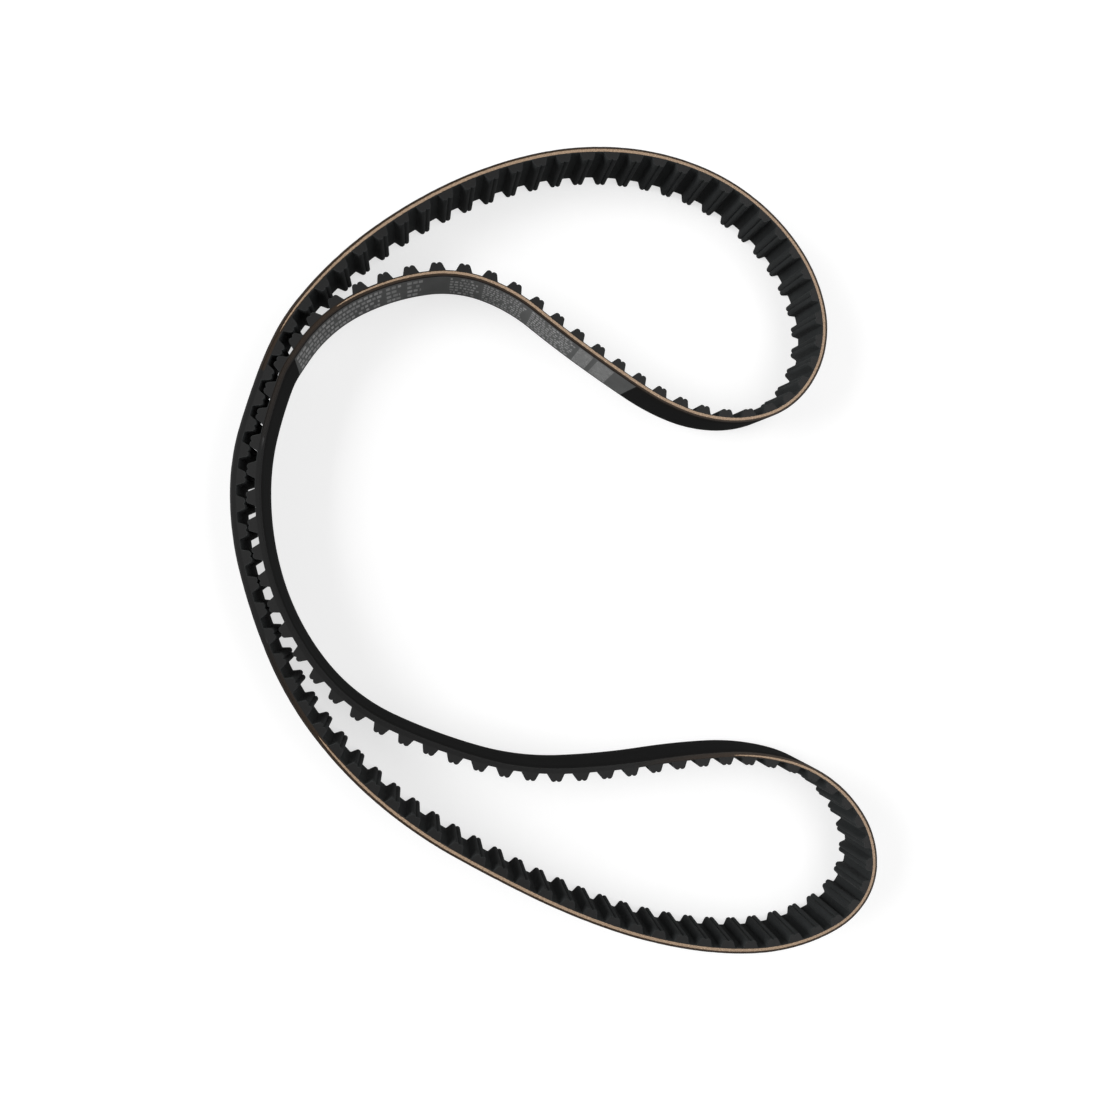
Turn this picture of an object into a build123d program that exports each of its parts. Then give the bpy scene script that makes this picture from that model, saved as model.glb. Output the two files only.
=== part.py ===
from build123d import *
import math
import os

os.makedirs("parts", exist_ok=True)

# A synchronous belt standing on its cut edge, folded into a C: the two strands mesh at the
# waist on the left and open into an upper and a lower lobe.  X and Y lie on the table, Z runs
# across the belt's width.  Lengths are millimetres, angles degrees.

# ---- driving sizes -------------------------------------------------------------------------
PITCH = 9.525  # tooth to tooth, along the cord line
UPPER_TEETH = 56  # whole pitches in the upper lobe, waist to waist
LOWER_TEETH = 78  # whole pitches in the lower lobe, waist to waist
BELT_WIDTH = 20.0
CORD_DIAMETER = 1.05
CORD_FLATS = 8  # flats that stand for a cord's round
CUT_CORD_DIAMETER = 0.90  # what is left, on average, of a cord sliced along its length
CORD_TO_BACK = 1.35  # cord line to the ground back
CORD_TO_LAND = 0.80  # cord line to the fabric surface between teeth
FABRIC = 0.20  # nylon facing
SPACINGS = 14  # cord spacings across the width
MESH_GAP = 1.70  # tooth tip to land where the two strands mesh at the waist
FILM = 0.06  # printed transfer film
FILM_MARGIN = 0.8  # film edge to belt edge
FILM_START = 7.0  # waist to the start of the film, along the inner strand
FILM_LENGTH = 149.0
# where each cord runs out through the belt's cut edges, as shares of the loop from the waist
CUT_RUN_S = (0.607, 0.988)  # round the upper lobe
CUT_RUN_Z = (0.105, 0.368)  # round the lower lobe

# ---- tooth section, as shares of the pitch ------------------------------------------------
TOOTH_HEIGHT = 0.308 * PITCH
ROOT_HALF = 0.315 * PITCH  # half the tooth's width where it leaves the land
CROWN_RADIUS = 0.121 * PITCH  # each of the two bumps at the tip
CROWN_HALF = 0.105 * PITCH  # centre line to the middle of a bump
ROOT_RADIUS = 0.042 * PITCH
FLANK_LEAN = math.radians(23)  # the flank's lean from upright, for the widths at the root

# ---- how the belt lies --------------------------------------------------------------------
WAIST_HEADING = -109  # which way the outer strand passes through the waist
WAIST = 2 * CORD_TO_LAND + TOOTH_HEIGHT + MESH_GAP  # between the two cord lines
# stations x, y and heading along each lobe, measured from the middle of the waist; the belt is
# walked with the teeth on the left, down the outer strand and back up the inner one
LOWER_LOBE = [
    (-12.1, -38.6, -91.7),  # outer strand, down the spine
    (-0.2, -96.6, -68.9),
    (38.8, -151.9, -42),
    (92.8, -187.9, -29),
    (156.8, -212.9, -12),  # bottom of the lobe
    (200.8, -213.9, 13),
    (224.8, -200.9, 51),  # tight end
    (225.3, -167.9, 121),
    (193.8, -143.9, 164),
    (139.8, -141.9, -174),  # inner strand turns the other way
    (73.8, -138.4, 162),
    (15.9, -103.6, 127),
    (-4.4, -36.2, 88),  # inner strand, up the spine
]
UPPER_LOBE = [
    (9.6, 11.2, 57.2),  # inner strand, above the waist
    (54.8, 39.1, 10.5),
    (94.8, 28.1, -37),
    (134.8, 1.1, -31.5),
    (169.8, -10.4, -1.5),  # inner strand turns back into the lobe
    (198.8, 0.1, 45),
    (208.8, 35.6, 103),  # end of the lobe
    (184.3, 72.1, 142),
    (128.8, 90.1, -180),  # top of the lobe
    (62.8, 71.6, -151),
    (9.4, 25.7, -126.2),
]


# ---- the cord line as a closed chain of tangent arcs --------------------------------------
def heading_vector(heading):
    return Vector(math.cos(heading), math.sin(heading))


def turn_between(a, b):
    """Signed angle from direction a to direction b."""
    return math.atan2(a.X * b.Y - a.Y * b.X, a.dot(b))


def tangent_arc(start, tangent, end):
    """One arc leaving start along tangent: its start, heading, curvature and length."""
    chord = end - start
    half_turn = turn_between(tangent, chord)
    curvature = 2 * math.sin(half_turn) / chord.length
    length = chord.length
    if abs(half_turn) > 1e-6:
        length = 2 * half_turn / curvature
    return start, math.atan2(tangent.Y, tangent.X), curvature, length


def arc_pair(first, last):
    """Two arcs that join one station to the next without a corner."""
    start, end = Vector(*first[:2]), Vector(*last[:2])
    leave, arrive = heading_vector(math.radians(first[2])), heading_vector(math.radians(last[2]))
    span, both = end - start, leave + arrive
    spread = 2 * (1 - leave.dot(arrive))
    reach = span.dot(span) / (4 * span.dot(arrive))
    if spread > 1e-9:
        reach = (math.sqrt(span.dot(both) ** 2 + spread * span.dot(span)) - span.dot(both)) / spread
    middle = (start + end + (leave - arrive) * reach) * 0.5
    into_middle = tangent_arc(start, leave, middle)
    through = heading_vector(into_middle[1] + into_middle[2] * into_middle[3])
    return [into_middle, tangent_arc(middle, through, end)]


ACROSS = heading_vector(math.radians(WAIST_HEADING + 90)) * (WAIST / 2)
OUTER_WAIST = (-ACROSS.X, -ACROSS.Y, WAIST_HEADING)
INNER_WAIST = (ACROSS.X, ACROSS.Y, WAIST_HEADING + 180)


def lobe_arcs(leave, stations, arrive, reach):
    """A lobe drawn reach times as large about the middle of the waist."""
    spread_out = [(x * reach, y * reach, heading) for x, y, heading in stations]
    stops = [leave] + spread_out + [arrive]
    arcs = []
    for first, last in zip(stops, stops[1:]):
        arcs += arc_pair(first, last)
    return arcs


SCALE_LIMITS = (0.3, 3.0)
SCALE_HALVINGS = 50


def fitted_lobe(leave, stations, arrive, length):
    """The lobe opened out until its cord line has the length that its teeth need."""
    low, high = SCALE_LIMITS
    for _ in range(SCALE_HALVINGS):
        reach = (low + high) / 2
        arcs = lobe_arcs(leave, stations, arrive, reach)
        if sum(arc[3] for arc in arcs) < length:
            low = reach
        else:
            high = reach
    return arcs


LOWER_LENGTH = (LOWER_TEETH + 0.5) * PITCH
UPPER_LENGTH = (UPPER_TEETH + 0.5) * PITCH
TEETH = UPPER_TEETH + LOWER_TEETH + 1
LOOP = TEETH * PITCH
ARCS = fitted_lobe(OUTER_WAIST, LOWER_LOBE, INNER_WAIST, LOWER_LENGTH) + fitted_lobe(
    INNER_WAIST, UPPER_LOBE, OUTER_WAIST, UPPER_LENGTH
)
JOINTS = [sum(arc[3] for arc in ARCS[:count]) for count in range(len(ARCS))] + [LOOP]


def place(along):
    """Position and heading on the cord line, walked from the outer side of the waist."""
    along = along % LOOP
    index = max(i for i in range(len(ARCS)) if JOINTS[i] <= along + 1e-9)
    start, heading, curvature, _ = ARCS[index]
    step = along - JOINTS[index]
    chord = step
    if abs(curvature) > 1e-9:
        chord = 2 * math.sin(curvature * step / 2) / curvature
    return start + heading_vector(heading + curvature * step / 2) * chord, heading + curvature * step


def spot(along, inset):
    """A point beside the cord line, inset towards the teeth."""
    centre, heading = place(along)
    return centre + heading_vector(heading + math.pi / 2) * inset


def run(begin, end, inset):
    """Edges that follow the cord line at an inset, split where one arc meets the next."""
    laps = [joint + lap * LOOP for lap in (-1, 0, 1) for joint in JOINTS[:-1]]
    stops = [begin] + sorted(j for j in laps if begin + 1e-6 < j < end - 1e-6) + [end]
    edges = []
    for a, b in zip(stops, stops[1:]):
        middle = (a + b) / 2
        points = [spot(a, inset), spot(middle, inset), spot(b, inset)]
        edges.append(ThreePointArc(*points, mode=Mode.PRIVATE))
    return edges


# the frame's origin is under the middle of the belt's outline
SIZE_BOX = Wire(run(0, LOOP, -CORD_TO_BACK)).bounding_box()
CENTRE = SIZE_BOX.center()
ARCS = [(start - Vector(CENTRE.X, CENTRE.Y), *rest) for start, *rest in ARCS]


# ---- tooth outline ------------------------------------------------------------------------
def crown(along, side):
    """Middle of one tip bump and the point where its round meets the notch."""
    centre, heading = place(along)
    forward, inward = heading_vector(heading), heading_vector(heading + math.pi / 2)
    bump_depth = CORD_TO_LAND + TOOTH_HEIGHT - CROWN_RADIUS
    bump = centre + forward * (side * CROWN_HALF) + inward * bump_depth
    notch_rise = math.sqrt(CROWN_RADIUS**2 - CROWN_HALF**2)
    return bump, centre + inward * (bump_depth + notch_rise)


def touch_point(root, bump, radius, side):
    """Where the flank from a root runs into the bump's round."""
    to_bump = bump - root
    swing = math.asin(radius / to_bump.length)
    direction = math.atan2(to_bump.Y, to_bump.X) - side * swing
    return root + heading_vector(direction) * (to_bump.length * math.cos(swing))


def round_over(bump, radius, start, end):
    """The bump's round from start to end, by way of the side away from the belt."""
    middle = bump + ((start - bump).normalized() + (end - bump).normalized()).normalized() * radius
    return ThreePointArc(start, middle, end, mode=Mode.PRIVATE)


ROOT_FLARE = ROOT_RADIUS / math.tan((math.pi / 2 + FLANK_LEAN) / 2)
CORE_HALF = ROOT_HALF - FABRIC * (1 / math.cos(FLANK_LEAN) - math.tan(FLANK_LEAN))


def fabric_flank(along, side):
    """Root round, flank and tip bump of the fabric's free surface, from land to notch."""
    root = spot(along + side * ROOT_HALF, CORD_TO_LAND)
    land = spot(along + side * (ROOT_HALF + ROOT_FLARE), CORD_TO_LAND)
    bump, notch = crown(along, side)
    touch = touch_point(root, bump, CROWN_RADIUS, side)
    away, up = (land - root).normalized(), (touch - root).normalized()
    between = (away + up).normalized()
    half_corner = away.get_angle(up) / 2
    centre = root + between * (ROOT_RADIUS / math.sin(math.radians(half_corner)))
    foot = root + up * ROOT_FLARE
    return [
        ThreePointArc(land, centre - between * ROOT_RADIUS, foot, mode=Mode.PRIVATE),
        Line(foot, touch, mode=Mode.PRIVATE),
        round_over(bump, CROWN_RADIUS, touch, notch),
    ]


def core_flank(along, side):
    """Flank and tip bump under the fabric, from the cord bed to the middle of the notch."""
    root = spot(along + side * CORE_HALF, CORD_TO_LAND - FABRIC)
    bump, notch = crown(along, side)
    radius = CROWN_RADIUS - FABRIC
    touch = touch_point(root, bump, radius, side)
    under = bump + (notch - bump) * (radius / CROWN_RADIUS)
    heading = place(along)[1]
    bottom = notch - heading_vector(heading + math.pi / 2) * FABRIC
    corner = notch + ((under - notch).normalized() + (bottom - notch).normalized()).normalized() * FABRIC
    return [
        Line(root, touch, mode=Mode.PRIVATE),
        round_over(bump, radius, touch, under),
        ThreePointArc(under, corner, bottom, mode=Mode.PRIVATE),
    ]


def fabric_surface():
    """The whole toothed face of the belt."""
    edges = []
    for tooth in range(TEETH):
        along = tooth * PITCH
        edges += fabric_flank(along, -1) + fabric_flank(along, 1)
        gap = ROOT_HALF + ROOT_FLARE
        edges += run(along + gap, along + PITCH - gap, CORD_TO_LAND)
    return edges


def fabric_back():
    """The side of the facing that is bonded to the cord bed and the tooth cores."""
    edges = []
    for tooth in range(TEETH):
        along = tooth * PITCH
        edges += core_flank(along, -1) + core_flank(along, 1)
        edges += run(along + CORE_HALF, along + PITCH - CORE_HALF, CORD_TO_LAND - FABRIC)
    return edges


# ---- tension cords ------------------------------------------------------------------------
# Two glass cords, one twisted each way, are wound side by side.  Each turn is drawn level, and
# where the winding runs out through a cut edge half a cord lies flush with that edge.
SPACING = BELT_WIDTH / SPACINGS


def cord_run(begin, end, height, diameter, keep):
    """A cord along part of the loop; keep is 1 or -1 for the half above or below, 0 for all."""
    with BuildLine(Plane.XY.offset(height)) as path:
        add(Wire(run(begin, end, 0)))
    start, heading = place(begin)
    forward, inward = heading_vector(heading), heading_vector(heading + math.pi / 2)
    square_on = Plane(origin=(start.X, start.Y, height), x_dir=-inward, z_dir=forward)
    with BuildPart() as cord:
        with BuildSketch(square_on):
            RegularPolygon(diameter / 2, CORD_FLATS, major_radius=False, rotation=180 / CORD_FLATS)
            if keep:
                with Locations((0, keep * diameter / 2)):
                    Rectangle(2 * diameter, diameter, mode=Mode.SUBTRACT)
        sweep(path=path.line)
    return cord


cords = {}
for number in range(1, SPACINGS):
    twist = "s" if number % 2 else "z"
    cords[f"cord_{twist}_turn_{number:02d}"] = cord_run(0, LOOP, number * SPACING, CORD_DIAMETER, 0)
for twist, (begin_share, end_share) in (("s", CUT_RUN_S), ("z", CUT_RUN_Z)):
    begin, end = begin_share * LOOP, end_share * LOOP
    cords[f"cord_{twist}_bottom_cut"] = cord_run(begin, end, 0, CUT_CORD_DIAMETER, 1)
    cords[f"cord_{twist}_top_cut"] = cord_run(begin, end, BELT_WIDTH, CUT_CORD_DIAMETER, -1)
for name, cord in cords.items():
    cord.part.label = name
    export_step(cord.part, f"parts/{name}.step")

# ---- rubber body, from the ground back to the bed that the cords lie in --------------------
with BuildPart() as backing_rubber:
    with BuildSketch():
        make_face(run(0, LOOP, -CORD_TO_BACK))
        make_face(run(0, LOOP, CORD_TO_LAND - FABRIC), mode=Mode.SUBTRACT)
    extrude(amount=BELT_WIDTH)
    for cord in cords.values():
        add(cord.part, mode=Mode.SUBTRACT)
backing_rubber.part.label = "backing_rubber"
export_step(backing_rubber.part, "parts/backing_rubber.step")

# ---- rubber cores of the teeth --------------------------------------------------------------
with BuildPart() as tooth_cores:
    with BuildSketch():
        for tooth in range(TEETH):
            along = tooth * PITCH
            bed = run(along - CORE_HALF, along + CORE_HALF, CORD_TO_LAND - FABRIC)
            make_face(bed + core_flank(along, -1) + core_flank(along, 1))
    extrude(amount=BELT_WIDTH)
tooth_cores.part.label = "tooth_cores"
export_step(tooth_cores.part, "parts/tooth_cores.step")

# ---- nylon facing over teeth and lands ------------------------------------------------------
with BuildPart() as facing_fabric:
    with BuildSketch():
        make_face(fabric_back())
        make_face(fabric_surface(), mode=Mode.SUBTRACT)
    extrude(amount=BELT_WIDTH)
facing_fabric.part.label = "facing_fabric"
export_step(facing_fabric.part, "parts/facing_fabric.step")

# ---- transfer film printed on the back ------------------------------------------------------
FILM_BEGIN = LOWER_LENGTH + FILM_START
FILM_END = FILM_BEGIN + FILM_LENGTH
film_ends = [
    Line(spot(along, -CORD_TO_BACK - FILM), spot(along, -CORD_TO_BACK), mode=Mode.PRIVATE)
    for along in (FILM_BEGIN, FILM_END)
]
with BuildPart() as transfer_film:
    with BuildSketch(Plane.XY.offset(FILM_MARGIN)):
        faces_of_film = [run(FILM_BEGIN, FILM_END, -CORD_TO_BACK - depth) for depth in (0, FILM)]
        make_face(faces_of_film[0] + faces_of_film[1] + film_ends)
    extrude(amount=BELT_WIDTH - 2 * FILM_MARGIN)
transfer_film.part.label = "transfer_film"
export_step(transfer_film.part, "parts/transfer_film.step")
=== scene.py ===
import math
import random

import bpy
import numpy as np
from mathutils import Matrix, Vector


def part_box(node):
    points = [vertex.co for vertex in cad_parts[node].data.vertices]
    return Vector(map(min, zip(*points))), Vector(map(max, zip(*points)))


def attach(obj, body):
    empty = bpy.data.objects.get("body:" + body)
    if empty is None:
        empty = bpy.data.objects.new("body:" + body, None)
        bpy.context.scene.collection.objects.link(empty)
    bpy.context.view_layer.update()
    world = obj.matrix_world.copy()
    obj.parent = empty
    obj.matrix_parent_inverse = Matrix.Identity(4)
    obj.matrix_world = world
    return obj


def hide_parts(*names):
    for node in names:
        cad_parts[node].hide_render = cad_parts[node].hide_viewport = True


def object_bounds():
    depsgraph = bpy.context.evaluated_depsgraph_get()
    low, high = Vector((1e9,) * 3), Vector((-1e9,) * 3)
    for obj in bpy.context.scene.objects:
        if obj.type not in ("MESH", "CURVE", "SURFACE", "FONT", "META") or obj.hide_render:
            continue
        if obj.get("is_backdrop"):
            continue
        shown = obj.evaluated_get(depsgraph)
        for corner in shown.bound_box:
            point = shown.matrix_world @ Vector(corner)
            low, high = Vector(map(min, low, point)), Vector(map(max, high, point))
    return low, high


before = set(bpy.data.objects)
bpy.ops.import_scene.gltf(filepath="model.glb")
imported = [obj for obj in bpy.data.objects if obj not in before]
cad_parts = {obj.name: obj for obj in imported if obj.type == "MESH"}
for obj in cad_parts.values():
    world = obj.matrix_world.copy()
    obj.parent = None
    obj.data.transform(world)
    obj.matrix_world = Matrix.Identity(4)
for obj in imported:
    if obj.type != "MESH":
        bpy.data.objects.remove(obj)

# A synchronous belt standing on its cut edge, folded into a C.  Everything is in metres, in the
# row frame.  The belt's section and its route are the CAD part's: each piece is a section
# carried along the cord line.  On a section, depth is measured from the cord line towards the
# teeth, and rise from the bottom edge.
CAD_LOW, CAD_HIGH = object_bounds()
MM = 0.001

# ---- belt sizes, as in the CAD part --------------------------------------------------------
PITCH = 9.525 * MM  # tooth to tooth, along the cord line
UPPER_TEETH = 56  # whole pitches in the upper lobe, waist to waist
LOWER_TEETH = 78  # whole pitches in the lower lobe, waist to waist
TEETH = UPPER_TEETH + LOWER_TEETH + 1
LOOP = TEETH * PITCH
WIDTH = CAD_HIGH.z - CAD_LOW.z
CORD_RADIUS = 0.525 * MM
BACK = -1.35 * MM  # depth of the ground back
LAND = 0.80 * MM  # depth of the fabric surface between teeth
FABRIC = 0.20 * MM  # nylon facing
MESH_GAP = 1.70 * MM  # tooth tip to land where the strands mesh
TOOTH_HEIGHT = 0.308 * PITCH
ROOT_HALF = 0.315 * PITCH  # half the tooth's width where it leaves the land
CROWN_RADIUS = 0.121 * PITCH  # each of the two bumps at the tip
CROWN_HALF = 0.105 * PITCH  # centre line to the middle of a bump
ROOT_RADIUS = 0.042 * PITCH
TOOTH_REACH = ROOT_HALF + 0.66 * ROOT_RADIUS  # centre line to where the root round meets the land
NOTCH_RADIUS = 0.05 * MM  # bottom of the notch between the bumps
FILM = 0.06 * MM  # printed transfer film
FILM_MARGIN = 0.8 * MM  # film edge to belt edge
FILM_START = 7.0 * MM  # waist to the start of the film, along the inner strand
FILM_LENGTH = 149.0 * MM
# where each cord runs out through the cut edges, as shares of the loop from the waist
CUT_RUN_S = (0.607, 0.988)
CUT_RUN_Z = (0.105, 0.368)

WAIST_HEADING = -109  # degrees: which way the outer strand passes through the waist
WAIST = 2 * LAND + TOOTH_HEIGHT + MESH_GAP  # between the two cord lines
# Stations of the CAD part's route: x and y from the middle of the waist, and the heading there.
LOWER_LOBE = [
    (-12.1, -38.6, -91.7),  # outer strand, down the spine
    (-0.2, -96.6, -68.9),
    (38.8, -151.9, -42),
    (92.8, -187.9, -29),
    (156.8, -212.9, -12),  # bottom of the lobe
    (200.8, -213.9, 13),
    (224.8, -200.9, 51),  # tight end
    (225.3, -167.9, 121),
    (193.8, -143.9, 164),
    (139.8, -141.9, -174),  # inner strand turns the other way
    (73.8, -138.4, 162),
    (15.9, -103.6, 127),
    (-4.4, -36.2, 88),  # inner strand, up the spine
]
UPPER_LOBE = [
    (9.6, 11.2, 57.2),  # inner strand, above the waist
    (54.8, 39.1, 10.5),
    (94.8, 28.1, -37),
    (134.8, 1.1, -31.5),
    (169.8, -10.4, -1.5),  # inner strand turns back into the lobe
    (198.8, 0.1, 45),
    (208.8, 35.6, 103),  # end of the lobe
    (184.3, 72.1, 142),
    (128.8, 90.1, -180),  # top of the lobe
    (62.8, 71.6, -151),
    (9.4, 25.7, -126.2),
]


# ---- the cord line, in complex numbers -----------------------------------------------------
def unit(heading):
    return np.exp(1j * heading)


def dot(a, b):
    return (a * np.conj(b)).real


def tangent_arc(start, heading, end):
    """One arc leaving start along heading: its start, heading, curvature and length."""
    chord = end - start
    half_turn = float(np.angle(chord / unit(heading)))
    curvature = 2 * math.sin(half_turn) / abs(chord)
    return start, heading, curvature, abs(chord) / float(np.sinc(half_turn / math.pi))


def arc_pair(first, last):
    """Two arcs that join one station to the next without a corner."""
    (start, leave_heading), (end, arrive_heading) = first, last
    leave, arrive = unit(leave_heading), unit(arrive_heading)
    span, both = end - start, leave + arrive
    spread = 2 * (1 - dot(leave, arrive))
    root = math.sqrt(dot(span, both) ** 2 + spread * abs(span) ** 2)
    reach = (root - dot(span, both)) / spread
    middle = (start + end + (leave - arrive) * reach) / 2
    one = tangent_arc(start, leave_heading, middle)
    return [one, tangent_arc(middle, one[1] + one[2] * one[3], end)]


SCALE_LIMITS = (0.3, 3.0)
SCALE_HALVINGS = 50


def fitted_lobe(leave, stations, arrive, length):
    """The lobe opened out until its cord line has the length that its teeth need."""
    low, high = SCALE_LIMITS
    for _ in range(SCALE_HALVINGS):
        reach = (low + high) / 2
        stops = [((x + 1j * y) * MM * reach, math.radians(heading)) for x, y, heading in stations]
        stops = [leave] + stops + [arrive]
        arcs = [arc for pair in zip(stops, stops[1:]) for arc in arc_pair(*pair)]
        if sum(arc[3] for arc in arcs) < length:
            low = reach
        else:
            high = reach
    return arcs


DOWN = math.radians(WAIST_HEADING)
ACROSS = unit(DOWN + math.pi / 2) * WAIST / 2
OUTER_WAIST = (-ACROSS, DOWN)
INNER_WAIST = (ACROSS, DOWN + math.pi)
LOWER_LENGTH = (LOWER_TEETH + 0.5) * PITCH
UPPER_LENGTH = (UPPER_TEETH + 0.5) * PITCH
ARCS = fitted_lobe(OUTER_WAIST, LOWER_LOBE, INNER_WAIST, LOWER_LENGTH)
ARCS += fitted_lobe(INNER_WAIST, UPPER_LOBE, OUTER_WAIST, UPPER_LENGTH)
STARTS, HEADINGS, CURVATURES, LENGTHS = (np.array(column) for column in zip(*ARCS))
JOINTS = np.concatenate([[0], np.cumsum(LENGTHS)[:-1]])


def line(along):
    """Places and headings on the cord line, walked from the outer side of the waist."""
    along = np.mod(np.asarray(along, float), LOOP)
    arc = np.searchsorted(JOINTS, along, side="right") - 1
    step = along - JOINTS[arc]
    half_turn = CURVATURES[arc] * step / 2
    chord = step * np.sinc(half_turn / math.pi)
    return STARTS[arc] + unit(HEADINGS[arc] + half_turn) * chord, HEADINGS[arc] + 2 * half_turn


def beside(along, depth):
    """Points beside the cord line, at a depth towards the teeth."""
    spot, heading = line(along)
    return spot + 1j * unit(heading) * depth


# the route is moved so that its back lies on the CAD body's
OUTLINE_POINTS = 20000
OUTLINE = beside(np.linspace(0, LOOP, OUTLINE_POINTS), BACK)
BODY_LOW, BODY_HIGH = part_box("backing_rubber")
STARTS = STARTS + complex(BODY_LOW.x + BODY_HIGH.x, BODY_LOW.y + BODY_HIGH.y) / 2
STARTS = STARTS - complex(
    OUTLINE.real.min() + OUTLINE.real.max(), OUTLINE.imag.min() + OUTLINE.imag.max()
) / 2


# ---- mesh building -------------------------------------------------------------------------
SHARP_ANGLE = math.radians(38)  # edges folded more than this are shaded sharp


def new_piece(name, vertices, faces, uvs, material, body="root"):
    """A mesh object; uvs holds one (u, v) for each corner of each face, in metres."""
    mesh = bpy.data.meshes.new(name)
    mesh.from_pydata([tuple(v) for v in vertices], [], [tuple(f) for f in faces])
    layer = mesh.uv_layers.new(name="along_across")
    layer.data.foreach_set("uv", np.asarray(uvs, float).ravel())
    mesh.materials.append(material)
    mesh.shade_smooth()
    mesh.set_sharp_from_angle(angle=SHARP_ANGLE)
    mesh.validate()
    piece = bpy.data.objects.new(name, mesh)
    bpy.context.scene.collection.objects.link(piece)
    if body:
        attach(piece, body)
    return piece


class Shell:
    """Collects vertices and faces with their texture coordinates."""

    def __init__(self):
        self.vertices, self.faces, self.uvs, self.count = [], [], [], 0

    def points(self, flat, rise):
        """Adds points given as complex places and heights; returns their indices."""
        flat = np.asarray(flat)
        rise = np.broadcast_to(rise, flat.shape)
        self.vertices.append(np.stack([flat.real, flat.imag, rise], -1).reshape(-1, 3))
        first = self.count
        self.count += flat.size
        return np.arange(first, self.count).reshape(flat.shape)

    def face(self, corners, uvs):
        self.faces.append([int(c) for c in corners])
        self.uvs.extend(uvs)

    def skin(self, grid, u, v, closed_rows=False, closed_columns=False):
        """Quads over a grid of points; u and v are grids of the same shape, or one larger
        where the grid closes on itself."""
        rows, columns = grid.shape
        for i in range(rows - (not closed_rows)):
            for j in range(columns - (not closed_columns)):
                ni, nj = (i + 1) % rows, (j + 1) % columns
                self.faces.append(
                    [int(grid[i, j]), int(grid[ni, j]), int(grid[ni, nj]), int(grid[i, nj])]
                )
                for a, b in ((i, j), (i + 1, j), (i + 1, j + 1), (i, j + 1)):
                    self.uvs.append((u[a, b], v[a, b]))

    def piece(self, name, material):
        return new_piece(name, np.concatenate(self.vertices), self.faces, self.uvs, material)


def smooth_noise(count, waves, seed):
    """Even-sized random ripples round a loop, between about -1 and 1."""
    draw = random.Random(seed)
    turn = np.linspace(0, 2 * math.pi, count, endpoint=False)
    total = np.zeros(count)
    for wave in waves:
        total += np.sin(wave * turn + draw.uniform(0, 2 * math.pi)) * draw.uniform(0.6, 1)
    return total / max(1, len(waves)) ** 0.5


# ---- materials -----------------------------------------------------------------------------
class Nodes:
    """A short way to write a node tree."""

    def __init__(self, name):
        self.material = bpy.data.materials.new(name)
        self.material.use_nodes = True
        self.tree = self.material.node_tree
        self.shader = self.tree.nodes["Principled BSDF"]

    def add(self, kind, **values):
        node = self.tree.nodes.new(kind)
        for key, value in values.items():
            if hasattr(node, key):
                setattr(node, key, value)
            else:
                node.inputs[key.replace("_", " ")].default_value = value
        return node

    def join(self, out, into):
        self.tree.links.new(out, into)

    def place(self, scale):
        """The surface's own coordinates in metres, along and across, times scale."""
        uv = self.add("ShaderNodeUVMap", uv_map="along_across")
        mapping = self.add("ShaderNodeMapping")
        mapping.inputs["Scale"].default_value = (*scale, 1)
        self.join(uv.outputs["UV"], mapping.inputs["Vector"])
        return mapping.outputs["Vector"]

    def solid_place(self, scale):
        """Object coordinates in metres times scale."""
        coordinates = self.add("ShaderNodeTexCoord")
        mapping = self.add("ShaderNodeMapping")
        mapping.inputs["Scale"].default_value = scale
        self.join(coordinates.outputs["Object"], mapping.inputs["Vector"])
        return mapping.outputs["Vector"]

    def noise(self, vector, detail=4.0, roughness=0.6):
        node = self.add("ShaderNodeTexNoise")
        node.inputs["Scale"].default_value = 1
        node.inputs["Detail"].default_value = detail
        node.inputs["Roughness"].default_value = roughness
        self.join(vector, node.inputs["Vector"])
        return node.outputs["Fac"]

    def ramp(self, factor, stops):
        node = self.add("ShaderNodeValToRGB")
        elements = node.color_ramp.elements
        while len(elements) < len(stops):
            elements.new(0.5)
        for element, (position, colour) in zip(elements, stops):
            element.position = position
            element.color = colour
        self.join(factor, node.inputs["Fac"])
        return node.outputs["Color"]

    def mix(self, factor, one, two):
        node = self.add("ShaderNodeMix", data_type="RGBA")
        for value, socket in ((factor, 0), (one, 6), (two, 7)):
            if isinstance(value, (int, float, tuple)):
                node.inputs[socket].default_value = value
            else:
                self.join(value, node.inputs[socket])
        return node.outputs[2]

    def math(self, operation, *values):
        node = self.add("ShaderNodeMath", operation=operation)
        for socket, value in enumerate(values):
            if isinstance(value, (int, float)):
                node.inputs[socket].default_value = value
            else:
                self.join(value, node.inputs[socket])
        return node.outputs[0]

    def bump(self, height, distance, strength=1.0, under=None):
        node = self.add("ShaderNodeBump")
        node.inputs["Distance"].default_value = distance
        node.inputs["Strength"].default_value = strength
        self.join(height, node.inputs["Height"])
        if under is not None:
            self.join(under, node.inputs["Normal"])
        return node.outputs["Normal"]

    def attribute(self, name):
        return self.add("ShaderNodeAttribute", attribute_name=name).outputs["Fac"]

    def finish(self, colour=None, roughness=None, normal=None, specular=None, **fixed):
        sockets = self.shader.inputs
        for value, name in (
            (colour, "Base Color"),
            (roughness, "Roughness"),
            (normal, "Normal"),
            (specular, "Specular IOR Level"),
        ):
            if value is None:
                continue
            if isinstance(value, (int, float, tuple)):
                sockets[name].default_value = value
            else:
                self.join(value, sockets[name])
        for name, value in fixed.items():
            sockets[name.replace("_", " ")].default_value = value
        return self.material


def grey(value, warm=1.0, cool=1.0):
    """A grey, with its red and blue scaled by warm and cool."""
    return (value * warm, value, value * cool, 1)


def rgb(red, green, blue):
    return (red, green, blue, 1)


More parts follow.
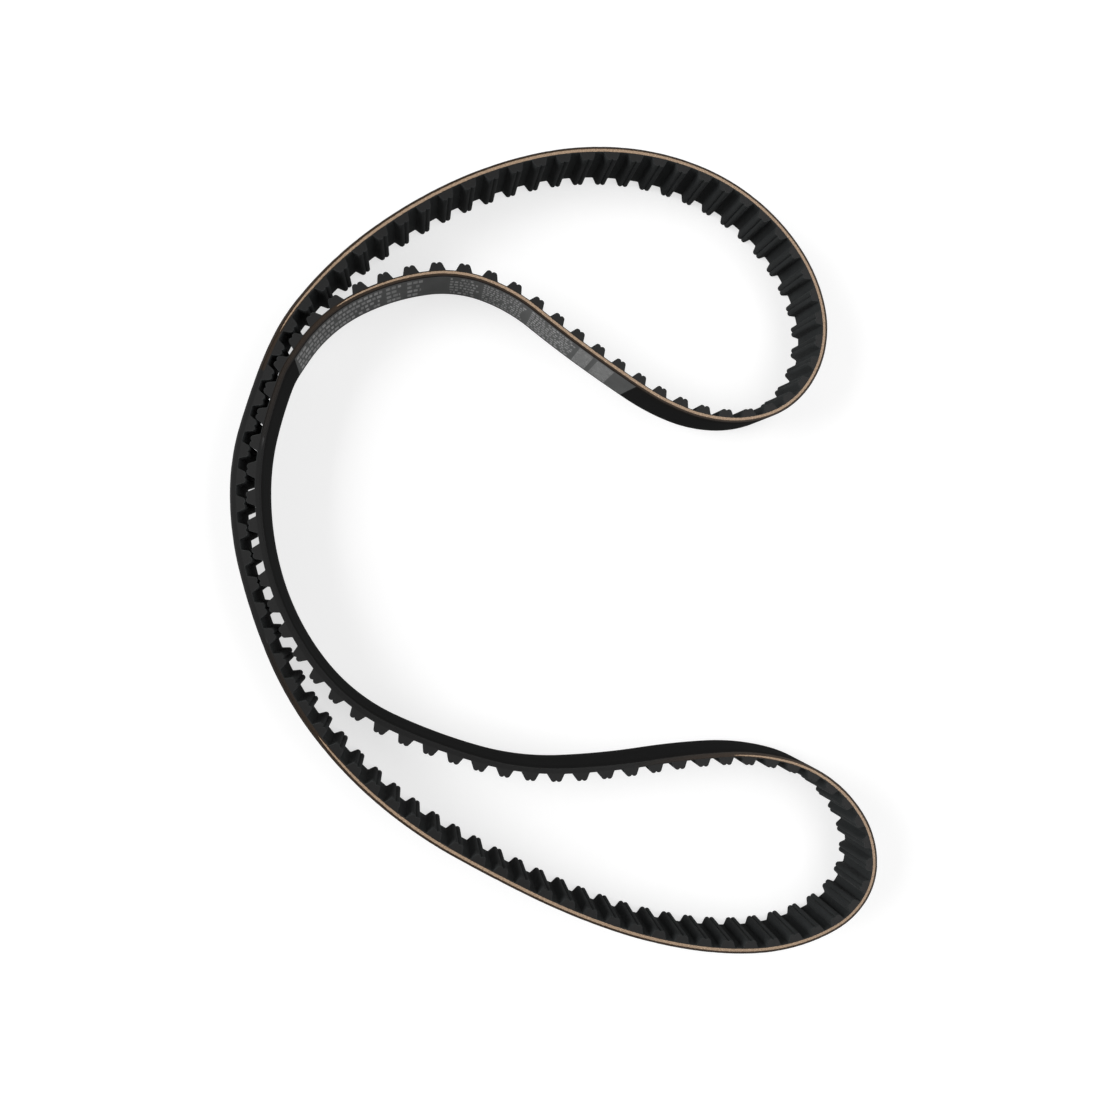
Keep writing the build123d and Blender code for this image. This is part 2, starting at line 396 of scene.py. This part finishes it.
def body_rubber():
    """Black rubber: a ground back, and cut edges browned by cord dust from the knife."""
    n = Nodes("body_rubber")
    fine = n.noise(n.solid_place((2600, 2600, 2600)), 5)
    broad = n.noise(n.solid_place((55, 55, 55)), 3)
    ground = n.noise(n.place((5200, 420)), 4)
    back = n.ramp(broad, [(0.3, grey(0.0030)), (0.75, grey(0.0055))])
    edge = n.ramp(fine, [(0.25, grey(0.0040)), (0.8, grey(0.0100))])
    dust = n.ramp(fine, [(0.25, rgb(0.024, 0.0135, 0.0065)), (0.85, rgb(0.062, 0.037, 0.020))])
    cut = n.attribute("cut")
    dusted = n.attribute("dust")
    colour = n.mix(cut, back, n.mix(dusted, edge, dust))
    rough = n.math("MULTIPLY_ADD", fine, 0.18, 0.46)
    scratches = n.bump(ground, 0.00003, 0.5)
    grain = n.bump(fine, 0.00004, 0.6, scratches)
    return n.finish(colour, rough, grain, 0.30)


def tooth_rubber():
    """The same rubber at the cut ends of the teeth."""
    n = Nodes("tooth_rubber")
    fine = n.noise(n.solid_place((2600, 2600, 2600)), 5)
    broad = n.noise(n.solid_place((140, 140, 140)), 3)
    colour = n.ramp(fine, [(0.25, grey(0.0045)), (0.8, grey(0.0110))])
    colour = n.mix(n.math("MULTIPLY", broad, 0.35), colour, grey(0.012))
    rough = n.math("MULTIPLY_ADD", fine, 0.18, 0.50)
    return n.finish(colour, rough, n.bump(fine, 0.00004, 0.7), 0.35)


def nylon_facing():
    """Black nylon twill pressed over the teeth, rubber-proofed, its ribs across the belt; its
    tooth tips are painted lighter, partly wear and partly a painted highlight.
    """
    n = Nodes("nylon_facing")
    place = n.place((1, 1))
    split = n.add("ShaderNodeSeparateXYZ")
    n.join(place, split.inputs[0])
    along, across = split.outputs[0], split.outputs[1]
    twill = n.math("ADD", n.math("MULTIPLY", along, 15700), n.math("MULTIPLY", across, 6300))
    ribs = n.math("SINE", twill)
    weft = n.math("SINE", n.math("MULTIPLY", across, 21000))
    weave = n.math("MULTIPLY_ADD", weft, 0.35, ribs)
    broad = n.noise(n.solid_place((260, 260, 90)), 4)
    fine = n.noise(n.solid_place((3000, 3000, 3000)), 3)
    dyes = [(0.3, rgb(0.0075, 0.0090, 0.0094)), (0.72, rgb(0.0145, 0.0168, 0.0172))]
    colour = n.ramp(broad, dyes)
    # lighter at the tooth tips: partly real wear of the fabric, partly a painted highlight on the
    # tips
    tip_wear_and_highlight = n.math("MULTIPLY", n.attribute("tip"), n.ramp(fine, [(0.45, grey(0)), (0.7, grey(1))]))
    colour = n.mix(n.math("MULTIPLY", tip_wear_and_highlight, 0.5), colour, rgb(0.022, 0.024, 0.024))
    rough = n.math("MULTIPLY_ADD", fine, 0.2, 0.52)
    normal = n.bump(fine, 0.00003, 0.5, n.bump(weave, 0.00004, 0.55))
    return n.finish(colour, rough, normal, 0.36, Sheen_Weight=0.06, Sheen_Roughness=0.5)


def tension_cord():
    """Glass cord, dipped brown and sliced open: pale golden fibre ends among the dip."""
    n = Nodes("tension_cord")
    fibres = n.noise(n.place((1500, 5200)), 6, 0.72)
    clumps = n.noise(n.place((420, 1600)), 3)
    shades = [
        (0.34, rgb(0.085, 0.050, 0.028)),
        (0.46, rgb(0.330, 0.225, 0.145)),
        (0.58, rgb(0.600, 0.430, 0.295)),
        (0.72, rgb(0.950, 0.780, 0.600)),
    ]
    colour = n.ramp(fibres, shades)
    colour = n.mix(n.math("MULTIPLY", clumps, 0.35), colour, rgb(0.170, 0.110, 0.070))
    rough = n.math("MULTIPLY_ADD", fibres, 0.25, 0.42)
    return n.finish(colour, rough, n.bump(fibres, 0.00008, 0.8), 0.4)


def print_film():
    """Thin matt transfer film; its marks are a lighter print in the mesh's tone attribute."""
    n = Nodes("print_film")
    fine = n.noise(n.solid_place((1800, 1800, 1800)), 4)
    broad = n.noise(n.solid_place((120, 120, 60)), 3)
    film_greys = [(0.3, grey(0.125, 0.98, 0.99)), (0.75, grey(0.165, 0.98, 0.99))]
    base = n.ramp(broad, film_greys)
    base = n.mix(n.math("MULTIPLY", fine, 0.25), base, grey(0.09))
    ink = n.ramp(fine, [(0.3, grey(0.34)), (0.7, grey(0.62))])
    colour = n.mix(n.attribute("tone"), base, ink)
    rough = n.math("MULTIPLY_ADD", fine, 0.2, 0.42)
    return n.finish(colour, rough, n.bump(fine, 0.00002, 0.5), 0.4)


# ---- pieces --------------------------------------------------------------------------------
def shares(begin, end, step):
    """Even steps of about the given length from begin to end."""
    return np.linspace(begin, end, max(2, int(round((end - begin) / step)) + 1))


def loop_steps(step):
    """Even steps of about the given length once round the loop."""
    return np.linspace(0, LOOP, int(round(LOOP / step)), endpoint=False)


def tag(piece, name, values):
    """A number for each vertex, read by the material."""
    attribute = piece.data.attributes.new(name, "FLOAT", "POINT")
    attribute.data.foreach_set("value", np.asarray(values, float).ravel())


def run_share(along, run):
    """How far along a cut run each place is: 0 at its start, 1 at its end."""
    return (along / LOOP - run[0]) / (run[1] - run[0])


DUST_PAST_RUN = 0.12  # how far the dust goes past a run's ends, as a share of the run
DUST_FADE = 0.16  # the share of the run over which it fades


def dust_near(along):
    """Cord dust smeared by the knife: full along a cut run, fading past its ends."""
    total = np.zeros_like(along)
    for run in (CUT_RUN_S, CUT_RUN_Z):
        share = run_share(along, run)
        edge = np.minimum(share + DUST_PAST_RUN, 1 + DUST_PAST_RUN - share) / DUST_FADE
        total = np.maximum(total, np.clip(edge, 0, 1))
    return total


BODY_STEP = 0.9 * MM  # between sections of the body
KNIFE_ROUND = 0.12 * MM  # round of the body's long corners
KNIFE_WANDER = 0.035 * MM  # how far the back's corner strays from a clean line
KNIFE_WAVES = [61, 97, 143, 201, 277, 331, 403]  # ripples of that corner round the loop
GROOVE_DEPTH = 0.12 * MM  # room for the sliced cords in the cut edges
DUST_SPREAD = 0.7 * MM  # how the dust thins away from the cord


def make_body(material):
    """The rubber body: a closed band, its long corners on the back a little rounded."""
    along = loop_steps(BODY_STEP)
    count = len(along)
    wander = smooth_noise(count, KNIFE_WAVES, 5) * KNIFE_WANDER
    groove = GROOVE_DEPTH * np.clip(8 * dust_near(along), 0, 1)
    bed = LAND - FABRIC
    top, low = WIDTH, 0.0
    across_edge = [BACK + KNIFE_ROUND, *(CORD_RADIUS * share for share in (-1, -0.9, 0, 0.9, 1))]
    # depth, rise and how much of a cut surface each line of the section is
    profile = [(BACK, low + KNIFE_ROUND, 0.0)]
    profile += [(BACK, low + WIDTH * share, 0.0) for share in (0.25, 0.5, 0.75)]
    profile += [(BACK, top - KNIFE_ROUND, 0.3)]
    profile += [(BACK + 0.35 * KNIFE_ROUND, top - 0.3 * KNIFE_ROUND, 1.0)]
    profile += [(depth, top, 1.0) for depth in across_edge]
    profile += [(bed, top, 1.0), (bed, low, 0.0)]
    profile += [(depth, low, 1.0) for depth in reversed(across_edge)]
    profile += [(BACK + 0.35 * KNIFE_ROUND, low + 0.3 * KNIFE_ROUND, 1.0)]
    shell = Shell()
    rows, across = [], [0.0]
    for (depth, rise, _), (next_depth, next_rise, _) in zip(profile, profile[1:] + profile[:1]):
        across.append(across[-1] + math.hypot(next_depth - depth, next_rise - rise))
    for depth, rise, cut in profile:
        loose = wander if cut > 0 and depth < -CORD_RADIUS else 0 * wander
        at = beside(along, depth + np.maximum(loose, 0))
        sunk = groove if abs(depth) < 0.95 * CORD_RADIUS else 0 * groove
        rows.append(shell.points(at, rise - sunk if rise == top else rise + sunk))
    grid = np.array(rows).T
    u = np.tile(np.append(along, LOOP)[:, None], (1, len(profile) + 1))
    v = np.tile(np.array(across)[None, :], (count + 1, 1))
    shell.skin(grid, u, v, closed_rows=True, closed_columns=True)
    piece = shell.piece("belt_body", material)
    tag(piece, "cut", np.concatenate([np.full(count, cut) for _, _, cut in profile]))
    beyond = [max(0.0, abs(depth) - CORD_RADIUS) for depth, *_ in profile]
    dust = dust_near(along)
    tag(piece, "dust", np.concatenate([dust * math.exp(-far / DUST_SPREAD) for far in beyond]))
    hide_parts("backing_rubber")


def arc_points(centre, from_direction, to_direction, radius, count):
    """Points on a round about centre, the short way from one direction to the other."""
    turn = np.angle(to_direction / from_direction)
    steps = np.linspace(0, 1, count)
    return centre + from_direction * np.exp(1j * steps * turn) * radius


def half_tooth(along, side, under):
    """Root round, tip bump and notch on one side of a tooth, from the land to the middle.
    under is how far below the fabric's free surface the outline runs."""
    centre, heading = line(along)
    forward = unit(heading)
    inward = 1j * forward
    root = beside(along + side * ROOT_HALF, LAND)
    _, land_heading = line(along + side * ROOT_HALF)
    bump_depth = LAND + TOOTH_HEIGHT - CROWN_RADIUS
    bump = centre + forward * side * CROWN_HALF + inward * bump_depth
    to_bump = bump - root
    swing = math.asin(CROWN_RADIUS / abs(to_bump))
    up = unit(np.angle(to_bump) - side * swing)
    away = side * unit(land_heading)
    between = (away + up) / abs(away + up)
    half_corner = abs(np.angle(up / away)) / 2
    root_centre = root + between * ROOT_RADIUS / math.sin(half_corner)
    into_land = -1j * unit(land_heading)
    into_flank = up * 1j * side
    notch_rise = math.sqrt((CROWN_RADIUS + NOTCH_RADIUS) ** 2 - CROWN_HALF**2)
    notch = centre + inward * (bump_depth + notch_rise)
    to_notch = (notch - bump) / abs(notch - bump)
    out_of_flank = -into_flank
    apex = (out_of_flank + inward) / abs(out_of_flank + inward)
    return np.concatenate(
        [
            arc_points(root_centre, into_land, into_flank, ROOT_RADIUS + under, 5),
            arc_points(bump, out_of_flank, apex, CROWN_RADIUS - under, 4),
            arc_points(bump, apex, to_notch, CROWN_RADIUS - under, 7)[1:],
            arc_points(notch, -to_notch, -inward, NOTCH_RADIUS + under, 3),
        ]
    )


def tooth_line(tooth, under):
    """One tooth's outline, from land to land."""
    along = tooth * PITCH
    before, after = half_tooth(along, -1, under), half_tooth(along, 1, under)
    return np.concatenate([before, after[::-1][1:]])


LAND_STEPS = 5  # points across each land
TOOTH_POINTS = len(tooth_line(0, 0.0))


def facing_line(under):
    """The whole toothed face at one depth under its surface."""
    parts = []
    for tooth in range(TEETH):
        parts.append(tooth_line(tooth, under))
        begin, end = tooth * PITCH + TOOTH_REACH, (tooth + 1) * PITCH - TOOTH_REACH
        between = np.linspace(begin, end, LAND_STEPS + 2)[1:-1]
        parts.append(beside(between, LAND - under))
    return np.concatenate(parts)


def make_cores(material):
    """The rubber core of each tooth, under the fabric."""
    shell = Shell()
    half = 0.8 * TOOTH_REACH
    for tooth in range(TEETH):
        outline = tooth_line(tooth, FABRIC)
        bed = beside(np.linspace(tooth * PITCH + half, tooth * PITCH - half, 5), LAND - FABRIC)
        outline = np.concatenate([outline, bed])
        rows = np.array([shell.points(outline, 0.0), shell.points(outline, WIDTH)])
        length = np.concatenate([[0], np.cumsum(abs(np.diff(np.append(outline, outline[0]))))])
        u = np.tile(length + tooth * PITCH, (2, 1))
        v = np.array([np.zeros(len(length)), np.full(len(length), WIDTH)])
        shell.skin(rows, u, v, closed_columns=True)
        centre, heading = line(tooth * PITCH)
        local = (outline - centre) / unit(heading)
        flat = [(tooth * PITCH + p.real, p.imag) for p in local]
        shell.face(rows[1][::-1], flat[::-1])
        shell.face(rows[0], flat)
    piece = shell.piece("tooth_core_rubber", material)
    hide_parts("tooth_cores")


EDGE_CURL = 0.05 * MM  # how the fabric draws in at the cut edges


def make_facing(material):
    """The nylon facing over teeth and lands, with its cut thickness at both edges."""
    face, back = facing_line(0.0), facing_line(FABRIC)
    count = len(face)
    length = np.concatenate([[0], np.cumsum(abs(np.diff(np.append(face, face[0]))))])
    heights = [0.0, EDGE_CURL, 0.3 * WIDTH, 0.65 * WIDTH, WIDTH - EDGE_CURL, WIDTH]
    shell = Shell()
    inward = (back - face) / abs(back - face)
    rows = []
    for height in heights:
        at = face + (inward * 0.4 * EDGE_CURL if height in (0.0, WIDTH) else 0)
        rows.append(shell.points(at, height))
    rows += [shell.points(back, WIDTH), shell.points(back, 0.0)]
    grid = np.array(rows)
    measured = heights + [WIDTH + FABRIC, 2 * WIDTH + FABRIC, 2 * WIDTH + 2 * FABRIC]
    u = np.tile(length[None, :], (len(rows) + 1, 1))
    v = np.tile(np.array(measured)[:, None], (1, count + 1))
    shell.skin(grid, u, v, closed_rows=True, closed_columns=True)
    piece = shell.piece("nylon_facing_skin", material)
    # the tooth tips, where the facing is painted lighter: partly wear, partly a painted highlight
    per_pitch = TOOTH_POINTS + LAND_STEPS
    step = np.arange(count) % per_pitch
    middle = (TOOTH_POINTS - 1) / 2
    tip = np.clip(1.4 - abs(step - middle) / middle * 1.9, 0, 1)
    tag(piece, "tip", np.tile(tip, len(rows)))
    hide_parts("facing_fabric")


CUT_STEP = 0.45 * MM  # between sections of a sliced cord
CUT_SPAN = 0.93 * CORD_RADIUS  # half width of the slice where it is widest
CUT_END = 0.03 * MM  # half width left at its two ends
CUT_LINES = 7  # lines of points across the slice, and round the half cord under it
RAGGED = 0.07 * MM  # how far the slice's sides stray
FUZZ = (0.004, 0.035)  # millimetres that the fibres lie under the edge
UNDER_CUT = 0.05 * MM
WIDTH_ROUND = 0.4 * CORD_RADIUS  # texture width of each line round the half cord


def make_cut_cord(name, run, at_top, seed, node, material):
    """Where a cord's winding runs out through a cut edge: a long lens of sliced fibre, flush
    with the edge, its sides ragged, over the half of the cord that is left in the rubber."""
    along = shares(run[0] * LOOP, run[1] * LOOP, CUT_STEP)
    count = len(along)
    share = np.linspace(-1, 1, count)
    lens = np.sqrt(np.clip(1 - share**6, 0, 1)) * CUT_SPAN + CUT_END
    draw = random.Random(seed)
    ragged = [np.array([draw.uniform(-1, 1) for _ in range(count)]) * RAGGED for _ in (0, 1)]
    shell = Shell()
    rows, widths = [], []
    surface = WIDTH if at_top else 0.0
    into = -1 if at_top else 1
    for step in np.linspace(-1, 1, CUT_LINES):
        edge = ragged[0] if step < 0 else ragged[1]
        depth = lens * step + edge * abs(step) ** 3
        fuzz = np.array([draw.uniform(*FUZZ) for _ in range(count)]) * MM
        rows.append(shell.points(beside(along, depth), surface + into * fuzz))
        widths.append(step * CORD_RADIUS)
    for angle in np.linspace(0, math.pi, CUT_LINES)[1:-1]:
        depth = lens * math.cos(angle)
        rise = surface + into * (lens * math.sin(angle) + UNDER_CUT)
        rows.append(shell.points(beside(along, depth), rise))
        widths.append(widths[-1] + WIDTH_ROUND)
    grid = np.array(rows).T
    if at_top:
        grid = grid[:, ::-1]
    widths = np.array(widths + [widths[-1] + WIDTH_ROUND])
    u = np.tile(along[:, None], (1, len(widths)))
    v = np.tile(widths[None, :], (count, 1))
    shell.skin(grid, u, v, closed_columns=True)
    for end in (grid[0], grid[-1][::-1]):
        shell.face(end, [(0, w) for w in widths[:-1]])
    piece = shell.piece(name, material)
    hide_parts(node)


# The film's print, from its start, as shares of its length: where a block begins and ends, how
# many rows of marks it has, and the least and greatest length of a mark.
PRINT_BLOCKS = [
    (0.015, 0.290, 4, 0.9, 1.9),
    (0.300, 0.345, 4, 1.2, 1.9),
    (0.355, 0.395, 4, 1.4, 2.0),
    (0.465, 0.545, 6, 0.7, 1.6),
    (0.552, 0.672, 8, 0.5, 1.4),
    (0.690, 0.830, 8, 0.5, 1.7),
]
SPECKLE_BLOCKS = [(0.838, 0.880), (0.893, 0.944)]
SLAB_STEP = 2.5 * MM  # between sections of a plate on the curved back
FILM_LEAN = 1.5 * MM  # how much the film's ends slant
BASE_TOP = 0.75 * FILM  # the plain film, then a speckled panel's ground, then the ink
PANEL_TOP = 0.82 * FILM
INK_TOP = 0.95 * FILM
PANEL_TONE = 0.3
MARK_GAP = (0.35, 0.8)  # millimetres between one mark and the next
WORD_GAP, WORD_CHANCE = 1.2 * MM, 0.12  # a wider gap now and then
DOT_PITCH, DOT_ROWS, DOT_CHANCE = 0.62 * MM, 24, 0.42
DOT_LENGTH, DOT_HEIGHT = 0.42 * MM, 0.45 * MM


def slab(shell, tones, begin, end, low, high, proud, tone, lean=0.0):
    """A thin closed plate on the belt's back, between two heights proud of the rubber. Its tone
    is how much of it is ink, and lean slants its ends."""
    sections = max(2, int((end - begin) / SLAB_STEP) + 1)
    along = np.linspace(begin, end, sections)
    tilt = lean / (WIDTH - 2 * FILM_MARGIN)
    rows = []
    for rise, height in ((low, proud[1]), (high, proud[1]), (high, proud[0]), (low, proud[0])):
        at = along + tilt * (rise - FILM_MARGIN)
        rows.append(shell.points(beside(at, BACK - height), rise))
        tones.extend([tone] * sections)
    grid = np.array(rows).T[:, ::-1]
    across = np.array([high + 0.1 * MM, high, high, low, low])
    u = np.tile(along[:, None], (1, 5))
    v = np.tile(across[None, :], (sections, 1))
    shell.skin(grid, u, v, closed_columns=True)
    shell.face(grid[0], [(begin, r) for r in (high, high, low, low)])
    shell.face(grid[-1][::-1], [(end, r) for r in (low, low, high, high)])


def make_film(material):
    """The transfer film on the back and its print: rows of plain bars and speckled panels."""
    shell, tones = Shell(), []
    start = LOWER_LENGTH + FILM_START
    low, high = FILM_MARGIN, WIDTH - FILM_MARGIN
    height = high - low
    slab(shell, tones, start, start + FILM_LENGTH, low, high, (0.0, BASE_TOP), 0.0, FILM_LEAN)
    draw = random.Random(11)
    ink = (BASE_TOP, INK_TOP)
    for first, last, rows, short, long in PRINT_BLOCKS:
        pitch = height * 0.94 / rows
        for row in range(rows):
            base = low + height * 0.03 + pitch * (row + 0.2)
            at = start + first * FILM_LENGTH
            finish = start + last * FILM_LENGTH - draw.uniform(0, 2.5) * MM
            while at < finish:
                size = draw.uniform(short, long) * MM
                size = min(size, finish + 0.4 * MM - at)
                rise, tone = base + 0.56 * pitch, draw.uniform(0.55, 1)
                slab(shell, tones, at, at + size, base, rise, ink, tone)
                at += size + draw.uniform(*MARK_GAP) * MM
                if draw.random() < WORD_CHANCE:
                    at += WORD_GAP
    for first, last in SPECKLE_BLOCKS:
        begin, end = start + first * FILM_LENGTH, start + last * FILM_LENGTH
        panel_low, panel_high = low + 0.03 * height, high - 0.03 * height
        panel = (BASE_TOP, PANEL_TOP)
        slab(shell, tones, begin, end, panel_low, panel_high, panel, PANEL_TONE)
        columns = int((end - begin) / DOT_PITCH)
        for column in range(columns):
            for row in range(DOT_ROWS):
                if draw.random() < DOT_CHANCE:
                    at = begin + (column + 0.2) * (end - begin) / columns
                    base = low + height * (0.05 + 0.9 * row / DOT_ROWS)
                    rise, tone = base + DOT_HEIGHT, draw.uniform(0.5, 0.95)
                    slab(shell, tones, at, at + DOT_LENGTH, base, rise, (PANEL_TOP, INK_TOP), tone)
    piece = shell.piece("transfer_film_print", material)
    tag(piece, "tone", tones)
    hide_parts("transfer_film")


def paint_cad_cords(material):
    """The cord turns inside the rubber keep their CAD shape and take a material."""
    for name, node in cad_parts.items():
        if name.startswith("cord_") and "turn" in name:
            node.data.materials.clear()
            node.data.materials.append(material)


def inner_cord():
    """Dipped glass cord inside the rubber, twisted."""
    n = Nodes("tension_cord_inside")
    strands = n.noise(n.solid_place((900, 900, 2400)), 4)
    colour = n.ramp(strands, [(0.3, rgb(0.10, 0.065, 0.040)), (0.7, rgb(0.26, 0.19, 0.13))])
    return n.finish(colour, 0.5, n.bump(strands, 0.00005, 0.6), 0.4)


# ---- stage ---------------------------------------------------------------------------------
FLOOR_REACH = 6.0
FLOOR_BELOW = 0.2 * MM  # under the belt, so that the two do not share a plane
FLOOR_GLOW = 0.66  # keeps the pale floor from falling away to grey


def make_floor():
    """A plain pale floor that throws no light back on the black rubber."""
    n = Nodes("pale_floor")
    grain = n.noise(n.solid_place((14, 14, 14)), 3)
    colour = n.ramp(grain, [(0.2, grey(0.44)), (0.8, grey(0.47))])
    glow = {"Emission_Color": (1, 1, 1, 1), "Emission_Strength": FLOOR_GLOW}
    material = n.finish(colour, 0.8, None, 0.0, **glow)
    steps = np.linspace(-FLOOR_REACH, FLOOR_REACH, 9)
    shell = Shell()
    grid = shell.points(steps[:, None] + 1j * steps[None, :], CAD_LOW.z - FLOOR_BELOW)
    u, v = np.meshgrid(steps, steps, indexing="ij")
    shell.skin(grid, u, v)
    vertices = np.concatenate(shell.vertices)
    floor = new_piece("floor", vertices, shell.faces, shell.uvs, material, None)
    floor.visible_diffuse = floor.visible_glossy = False
    floor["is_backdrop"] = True


def light(name, at, aim, size, watts):
    """A white soft box at a place, turned to face aim."""
    lamp = bpy.data.lights.new(name, "AREA")
    lamp.shape = "RECTANGLE"
    lamp.size, lamp.size_y = size
    lamp.energy = watts
    holder = bpy.data.objects.new(name, lamp)
    bpy.context.scene.collection.objects.link(holder)
    holder.location = at
    holder.rotation_euler = (Vector(aim) - Vector(at)).to_track_quat("-Z", "Y").to_euler()


# how bright the room is, from straight down (or level, at 0) to straight up
SKY_LEVELS = [(0.0, 0.08), (0.33, 0.95), (0.6, 0.05)]


def make_sky():
    """A pale wall round the horizon under a dim ceiling."""
    world = bpy.data.worlds.new("room")
    bpy.context.scene.world = world
    world.use_nodes = True
    tree = world.node_tree
    background = tree.nodes["Background"]
    coordinates = tree.nodes.new("ShaderNodeTexCoord")
    split = tree.nodes.new("ShaderNodeSeparateXYZ")
    ramp = tree.nodes.new("ShaderNodeValToRGB")
    elements = ramp.color_ramp.elements
    elements.new(0.5)
    for element, (height, level) in zip(elements, SKY_LEVELS):
        element.position = height
        element.color = grey(level)
    tree.links.new(coordinates.outputs["Generated"], split.inputs[0])
    tree.links.new(split.outputs["Z"], ramp.inputs["Fac"])
    tree.links.new(ramp.outputs["Color"], background.inputs["Color"])
    background.inputs["Strength"].default_value = 1.0


# the camera's place and the point it looks at, as shares of the belt's size from its middle
CAMERA_X, CAMERA_Y, CAMERA_RISE = -0.2464, -0.0034, 1.1684
AIM_X, AIM_Y = -0.0263, 0.0062
SENSOR_WIDTH, FOCAL_LENGTH = 36, 25.66  # millimetres


def make_camera():
    """A close camera above the inner side of the waist, tipped a little to the right."""
    low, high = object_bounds()
    size = high - low
    at = Vector((CAMERA_X * size.x, CAMERA_Y * size.y, high.z + CAMERA_RISE * size.x))
    aim = Vector((AIM_X * size.x, AIM_Y * size.y, low.z))
    camera = bpy.data.cameras.new("view")
    camera.sensor_width = SENSOR_WIDTH
    camera.lens = FOCAL_LENGTH
    camera.clip_start, camera.clip_end = 0.01, 50
    holder = bpy.data.objects.new("view", camera)
    bpy.context.scene.collection.objects.link(holder)
    back = (at - aim).normalized()
    right = Vector((0, 1, 0)).cross(back).normalized()
    up = back.cross(right)
    turn = Matrix((right, up, back)).transposed()
    holder.matrix_world = Matrix.Translation(at) @ turn.to_4x4()
    bpy.context.scene.camera = holder


make_body(body_rubber())
make_cores(tooth_rubber())
make_facing(nylon_facing())
CUT = tension_cord()
make_cut_cord("cut_cord_s_top", CUT_RUN_S, True, 21, "cord_s_top_cut", CUT)
make_cut_cord("cut_cord_s_bottom", CUT_RUN_S, False, 22, "cord_s_bottom_cut", CUT)
make_cut_cord("cut_cord_z_top", CUT_RUN_Z, True, 23, "cord_z_top_cut", CUT)
make_cut_cord("cut_cord_z_bottom", CUT_RUN_Z, False, 24, "cord_z_bottom_cut", CUT)
make_film(print_film())
paint_cad_cords(inner_cord())
make_floor()
make_sky()
light("ceiling_panel", at=(0.42, 0.02, 0.62), aim=(0.06, 0, 0), size=(1.3, 0.4), watts=3.6)
light("side_panel", at=(-1.5, 0.25, 0.75), aim=(0, 0, 0), size=(1.1, 1.0), watts=30)
make_camera()
bpy.context.scene.view_settings.view_transform = "Standard"
